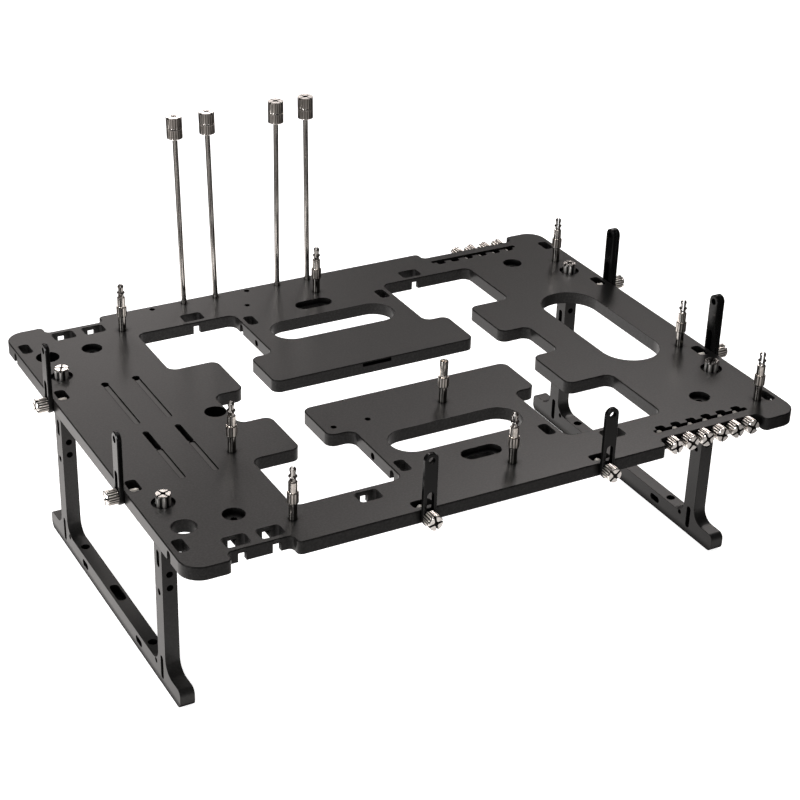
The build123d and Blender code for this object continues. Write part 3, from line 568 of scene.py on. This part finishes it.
single_mesh = thumb_screw("bracket_screw", SINGLE_SHANK, KNURLED)
pair_mesh = thumb_screw("pair_screw", PAIR_SHANK, KNURLED)
for where, turn in BRACKET_TURNS.items():
    node = f"{where}_bracket_screw"
    side = where.split("_")[0]
    axis = OUTWARD[side]
    middle, low, high = middle_of(node)
    seat = middle + axis * (abs(axis.dot((high - low) / 2)) - HEAD_LENGTH)
    mesh = pair_mesh if side == "right" else single_mesh
    set_screw(f"{where}_thumb_screw", mesh, seat, axis, turn, node)

bank_mesh = thumb_screw("bank_screw", BANK_SHANK, KNURLED)
for side, count in BANK_COUNTS.items():
    node = f"{side}_spare_screws"
    middle, low, high = middle_of(node)
    pitch = (high.x - low.x - 2 * HEAD_RADIUS) / (count - 1)
    y = low.y + HEAD_LENGTH if side == "front" else high.y - HEAD_LENGTH
    for k, turn in enumerate(BANK_TURNS[:count]):
        seat = Vector((low.x + HEAD_RADIUS + k * pitch, y, middle.z))
        set_screw(f"{side}_spare_thumb_screw_{k + 1}", bank_mesh, seat, OUTWARD[side], turn, node)


# Stand-offs and the alignment post

STUD_RADIUS, STUD_LENGTH = 1.45 * MM, 6 * MM
BASE_RADIUS, BASE_TOP = 2.2 * MM, 9.3 * MM
COLLAR_RADIUS, COLLAR_TOP = 2.95 * MM, 15.4 * MM
COLLAR_EDGE = 0.4 * MM
COLLAR_STEPS = 8
COLLAR_FLUTE_DEPTH = 0.045
SHAFT_RADIUS, NECK_RADIUS, RING_RADIUS = 2.3 * MM, 1.65 * MM, 2.3 * MM
UPPER_NECK_RADIUS, TIP_RADIUS = 1.45 * MM, 1.8 * MM
NECK_BASE = 21.4 * MM
STANDOFF_TOP = 29.2 * MM
SPLIT_WIDTH, SPLIT_SPAN, SPLIT_TOP = 0.9 * MM, 10 * MM, 40 * MM
SPLIT_TURN = 45
POST_TOP = 24.8 * MM
POST_BORE_FLOOR = 16.8 * MM


def collar_flutes(k, height, radius):
    """Fine straight flutes on the collar only."""
    inside = BASE_TOP + 0.5 * MM < height < COLLAR_TOP - 0.5 * MM
    return 1 - COLLAR_FLUTE_DEPTH if inside and k % COLLAR_STEPS == COLLAR_STEPS // 2 else 1


collar_profile = [
    (0, -STUD_LENGTH),
    (STUD_RADIUS, -STUD_LENGTH),
    (STUD_RADIUS, 0),
    (BASE_RADIUS - 0.1 * MM, 0),
    (BASE_RADIUS, 0.1 * MM),
    (BASE_RADIUS, BASE_TOP),
    (COLLAR_RADIUS - 0.15 * MM, BASE_TOP + 0.05 * MM),
    (COLLAR_RADIUS, BASE_TOP + COLLAR_EDGE),
    (COLLAR_RADIUS, BASE_TOP + COLLAR_EDGE + 0.15 * MM),
    (COLLAR_RADIUS, COLLAR_TOP - COLLAR_EDGE - 0.15 * MM),
    (COLLAR_RADIUS, COLLAR_TOP - COLLAR_EDGE),
    (COLLAR_RADIUS - COLLAR_EDGE, COLLAR_TOP),
]
snap_profile = [
    (SHAFT_RADIUS, COLLAR_TOP),
    (SHAFT_RADIUS, 20.9 * MM),
    (SHAFT_RADIUS - 0.3 * MM, 21.2 * MM),
    (NECK_RADIUS, NECK_BASE),
    (NECK_RADIUS, 23.1 * MM),
    (RING_RADIUS - 0.15 * MM, 23.7 * MM),
    (RING_RADIUS, 24.0 * MM),
    (RING_RADIUS - 0.15 * MM, 24.3 * MM),
    (UPPER_NECK_RADIUS, 24.8 * MM),
    (UPPER_NECK_RADIUS, 26.2 * MM),
    (TIP_RADIUS - 0.1 * MM, 27.0 * MM),
]
for k in range(1, 6):
    angle = k * pi / 12
    snap_profile.append((TIP_RADIUS * cos(angle), STANDOFF_TOP - TIP_RADIUS + TIP_RADIUS * sin(angle)))
snap_profile.append((0, STANDOFF_TOP))
post_profile = [
    (2.2 * MM, COLLAR_TOP),
    (2.35 * MM, POST_TOP - 0.2 * MM),
    (2.25 * MM, POST_TOP),
    (1.5 * MM, POST_TOP),
    (1.4 * MM, POST_TOP - 0.2 * MM),
    (1.4 * MM, POST_BORE_FLOOR),
    (0, POST_BORE_FLOOR),
]


def collared(upper_profile, name):
    """A stud, base and collar with an upper part."""
    shape = turned(collar_profile + upper_profile, COLLAR_FLUTES * COLLAR_STEPS, collar_flutes)
    return as_mesh(shape, name)


def collar_index(radius, height, normal):
    """The finish of a face of a stand-off: the collar, the base and tip painted dark as shade, or the shaft.
    """
    if radius > 2.5 * MM and BASE_TOP + 0.3 * MM < height < COLLAR_TOP - 0.3 * MM:
        return 1
    return 2 if height < BASE_TOP or height > NECK_BASE - 0.1 * MM else 0


standoff_mesh = collared(snap_profile, "standoff")
split = [(SPLIT_SPAN, SPLIT_WIDTH)]
standoff_mesh = cut_boxes(standoff_mesh, split, NECK_BASE, SPLIT_TOP, radians(SPLIT_TURN))
post_mesh = collared(post_profile, "post")
for mesh in (standoff_mesh, post_mesh):
    smooth(mesh, FINE_BAND_ANGLE)
    finished(mesh, [nickel_shaft, nickel_collar, nickel_base_and_tip_painted_shade], collar_index)

board_posts = [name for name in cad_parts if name.startswith("standoff") or name == "alignment_post"]
for node in sorted(board_posts):
    middle = middle_of(node)[0]
    mesh = post_mesh if node == "alignment_post" else standoff_mesh
    piece(f"turned_{node}", mesh, [node], Matrix.Translation((middle.x, middle.y, PLATE_TOP)))


# Card posts with their nuts and caps, each leaning as its CAD node does

NUT_RADIUS, NUT_BORE = 4.55 * MM, 1.55 * MM
NUT_STEPS = 12
NUT_FLUTE_DEPTH = 0.04
NUT_EDGE = 0.12 * MM
CAP_LENGTH, CAP_TOP, CAP_BORE_TOP = 6.7 * MM, 117.5 * MM, 115.6 * MM
NUT_LENGTH, NUT_GAP = 5.9 * MM, 0.3 * MM
CAP_PIT, CAP_PIT_DEPTH = 2.4 * MM, 1.2 * MM
CAP_SLOT, CAP_SLOT_DEPTH, CAP_SLOT_TURN = 0.7 * MM, 1.0 * MM, radians(20)
ABOVE_CAP = CAP_TOP + 10 * MM
ROD_RADIUS, ROD_STEPS = 1.45 * MM, 32
ROD_TOP = 115.2 * MM
FOOT_RING, FOOT_RING_HEIGHT = 0.2 * MM, 2 * MM
ROD_DEPTH = 6 * MM
PIVOT_DEPTH = 3 * MM
SAME_POINT = 1e-7


def knob(low, high, bore_top, name):
    """A fluted cylinder between two heights with a bore from below, which may go right through."""
    profile = [
        (NUT_BORE, bore_top),
        (NUT_BORE, low),
        (NUT_RADIUS - NUT_EDGE, low),
        (NUT_RADIUS, low + NUT_EDGE),
        (NUT_RADIUS, low + 0.35 * MM),
        (NUT_RADIUS, high - 0.35 * MM),
        (NUT_RADIUS, high - NUT_EDGE),
        (NUT_RADIUS - NUT_EDGE, high),
    ]
    if bore_top < high:
        profile = [(0, bore_top)] + profile + [(0, high)]
    else:
        profile += [(NUT_BORE, high), (NUT_BORE, bore_top)]

    def flutes(k, height, radius):
        fluted = low + 0.3 * MM < height < high - 0.3 * MM and radius > 3 * MM
        return 1 - NUT_FLUTE_DEPTH * hollow(k, NUT_STEPS) if fluted else 1

    shape = turned(profile, NUT_FLUTES * NUT_STEPS, flutes)
    bmesh.ops.remove_doubles(shape, verts=shape.verts, dist=SAME_POINT)
    return as_mesh(shape, name)


def knob_index(radius, height, normal):
    """The finish of a face of a nut or a cap: a recess of the cap's top painted dark as shade, the fluted
    side painted darker as shade, or the rest.
    """
    if CAP_TOP - 2 * MM < height < CAP_TOP - HAIR and radius < 0.97 * NUT_RADIUS:
        return 2
    return 1 if radius > 0.8 * NUT_RADIUS and abs(normal.z) < 0.5 else 0


cap_base = CAP_TOP - CAP_LENGTH
nut_top = cap_base - NUT_GAP
nut_mesh = knob(nut_top - NUT_LENGTH, nut_top, nut_top, "card_nut")
cap_mesh = knob(cap_base, CAP_TOP, CAP_BORE_TOP, "card_cap")
pit_floor, slot_floor = CAP_TOP - CAP_PIT_DEPTH, CAP_TOP - CAP_SLOT_DEPTH
cap_mesh = cut_boxes(cap_mesh, [(CAP_PIT, CAP_PIT)], pit_floor, ABOVE_CAP, 0)
cap_mesh = cut_cross(cap_mesh, CAP_SLOT, 4 * NUT_RADIUS, slot_floor, ABOVE_CAP, CAP_SLOT_TURN)
for mesh in (nut_mesh, cap_mesh):
    smooth(mesh, FINE_BAND_ANGLE)
    finished(mesh, [nickel, nickel_fluted_painted_shade, nickel_recess_painted_shade], knob_index)

rod_mesh = as_mesh(turned([
    (0, -ROD_DEPTH),
    (ROD_RADIUS, -ROD_DEPTH),
    (ROD_RADIUS, 0),
    (ROD_RADIUS + FOOT_RING, HAIR),
    (ROD_RADIUS + FOOT_RING, FOOT_RING_HEIGHT),
    (ROD_RADIUS, FOOT_RING_HEIGHT + 0.2 * MM),
    (ROD_RADIUS, ROD_TOP - 0.2 * MM),
    (ROD_RADIUS - 0.2 * MM, ROD_TOP),
    (0, ROD_TOP),
], ROD_STEPS), "card_rod")
smooth(rod_mesh, FINE_BAND_ANGLE)
finished(rod_mesh, [nickel_rod], lambda radius, height, normal: 0)

for k in range(1, 5):
    middle, low, high = middle_of(f"card_post_{k}")
    # The rod's box is as wide as its lean carries the top to the left
    lean = atan2(max(high.x - low.x - 2 * ROD_RADIUS, 0), high.z - low.z)
    pivot = Vector((high.x - ROD_RADIUS - PIVOT_DEPTH * sin(lean), middle.y, PLATE_TOP - PIVOT_DEPTH))
    leaning = Matrix.Rotation(-lean, 4, "Y") @ Matrix.Translation((0, 0, PIVOT_DEPTH))
    place = Matrix.Translation(pivot) @ leaning
    turned_place = place @ Matrix.Rotation(k * pi / 2, 4, "Z")
    piece(f"turned_card_post_{k}", rod_mesh, [f"card_post_{k}"], place)
    piece(f"fluted_card_post_nut_{k}", nut_mesh, [f"card_post_nut_{k}"], turned_place)
    piece(f"fluted_card_post_cap_{k}", cap_mesh, [f"card_post_cap_{k}"], turned_place)


# Camera at the photograph's viewing angle

camera_data = bpy.data.cameras.new("camera")
camera_data.lens = 83.55
camera_data.sensor_width = 36
camera = linked("camera", camera_data)
camera.location = (-0.44547, -0.79830, 0.58727)
camera.rotation_euler = (radians(61.6168), radians(-1.6211), radians(-28.4820))
bpy.context.scene.camera = camera


# Floor: white where the camera looks, with the object's shadow
# In reflections it glows with painted light and shade, bright at the rear and dim in front and at the sides

FLOOR_SIZE = 6
FLOOR_HEIGHT = -0.0005
FLOOR_COLOUR = (0.9, 0.9, 0.9)
FLOOR_ROUGHNESS = 0.9
FLOOR_GLOW = 0.85
FLOOR_LIGHT = 2.6
REARWARD = (-0.3, 0.9, 0)
RIGHTWARD = (1, 0, 0)
REARWARD_START, REARWARD_END = -0.4, 0.5
# Painted light: how brightly the floor glows in reflections, from front to rear
FLOOR_PAINTED_LIGHT_TONES = [(0.0, 0.2), (0.11, 0.24), (0.24, 0.34), (0.35, 0.4), (0.42, 0.6), (0.52, 0.75),
               (0.67, 0.76), (0.75, 0.74), (0.83, 0.42), (0.9, 0.06), (1.0, 0.02)]
# For each side: how much light is left at the near and at the far place, and these places along X
LEFT_FADE = (0.3, 1.0, -0.4, -0.31)
RIGHT_FADE = (1.0, 0.08, 0.2, 0.34)


def warm_grey(value):
    """A grey with a warm tint."""
    return (value, 0.965 * value, 0.945 * value)


def floor_material():
    made, graph, shader = new_material("floor_white")
    graph.put(shader["Base Color"], FLOOR_COLOUR)
    graph.put(shader["Roughness"], FLOOR_ROUGHNESS)
    graph.put(shader["Specular IOR Level"], 0)
    glow = graph.add("Emission", {"Strength": FLOOR_GLOW}).outputs["Emission"]
    surface = graph.nodes["Principled BSDF"].outputs["BSDF"]
    white = graph.add("AddShader", {0: surface, 1: glow}).outputs["Shader"]
    place = graph.coordinates("Object")
    depth = graph.spread(graph.dot(place, REARWARD), 0, 1, REARWARD_START, REARWARD_END)
    # Painted light and shade: the glow that the floor shows in reflections
    tone = graph.ramp(depth, [(position, warm_grey(value)) for position, value in FLOOR_PAINTED_LIGHT_TONES])
    across = graph.dot(place, RIGHTWARD)
    fades = [graph.spread(across, *fade, kind="SMOOTHSTEP") for fade in (LEFT_FADE, RIGHT_FADE)]
    strength = graph.maths("MULTIPLY", graph.maths("MULTIPLY", *fades), FLOOR_LIGHT)
    reflected = graph.add("Emission", {"Color": tone, "Strength": strength}).outputs["Emission"]
    by_camera = graph.add("LightPath", {}).outputs["Is Camera Ray"]
    shown = graph.add("MixShader", {"Fac": by_camera, 1: reflected, 2: white}).outputs["Shader"]
    graph.put(graph.nodes["Material Output"].inputs["Surface"], shown)
    return made


floor_shape = bmesh.new()
bmesh.ops.create_grid(floor_shape, x_segments=1, y_segments=1, size=FLOOR_SIZE)
floor = linked("floor", as_mesh(floor_shape, "floor"))
floor.location = (0, 0, FLOOR_HEIGHT)
floor.data.materials.append(floor_material())


# World: white where the camera looks
# In reflections it is a dim warm room with three soft lights behind the bench

ROOM_COLOUR = (1, 0.94, 0.915)
ROOM_LIGHT = 0.07
# Azimuth in degrees, sine of the height, sharpness and strength
SOFT_LIGHTS = [(70.5, 0.405, 300, 5.2), (51.5, 0.66, 300, 36), (87.8, 0.555, 300, 39)]


def heading(azimuth, height):
    """A direction from its azimuth in degrees and the sine of its height."""
    flat = (1 - height * height) ** 0.5
    return (flat * cos(radians(azimuth)), flat * sin(radians(azimuth)), height)


def studio_world():
    made = bpy.data.worlds.new("studio")
    made.use_nodes = True
    graph = Graph(made.node_tree)
    direction = graph.coordinates("Generated")
    total = ROOM_LIGHT
    for azimuth, height, sharpness, light in SOFT_LIGHTS:
        towards = graph.maths("MAXIMUM", graph.dot(direction, heading(azimuth, height)))
        glow = graph.maths("MULTIPLY", graph.maths("POWER", towards, sharpness), light)
        total = graph.maths("ADD", glow, total)
    room = graph.add("Background", {"Color": ROOM_COLOUR, "Strength": total}).outputs["Background"]
    graph.put(graph.nodes["Background"].inputs["Color"], (1, 1, 1))
    white = graph.nodes["Background"].outputs["Background"]
    by_camera = graph.add("LightPath", {}).outputs["Is Camera Ray"]
    shown = graph.add("MixShader", {"Fac": by_camera, 1: room, 2: white}).outputs["Shader"]
    graph.put(graph.nodes["World Output"].inputs["Surface"], shown)
    return made


bpy.context.scene.world = studio_world()


# Softboxes: place, size and power, each facing the middle of the bench

SOFTBOX_TARGET = Vector((0, 0, 0.1))
SOFTBOXES = {
    "left_softbox": ((-1.7, -0.2, 0.7), (0.5, 1.0), 26),
    "front_softbox": ((-0.7, -1.7, 1.0), (0.4, 0.8), 9),
    "top_softbox": ((0.3, 0.5, 2.0), (1.6, 1.6), 8),
}
for name, (place, size, power) in SOFTBOXES.items():
    light = bpy.data.lights.new(name, "AREA")
    light.shape = "RECTANGLE"
    light.size, light.size_y = size
    light.energy = power
    softbox = linked(name, light)
    softbox.location = place
    softbox.rotation_euler = (SOFTBOX_TARGET - Vector(place)).to_track_quat("-Z", "Y").to_euler()

bpy.context.scene.view_settings.view_transform = "Standard"
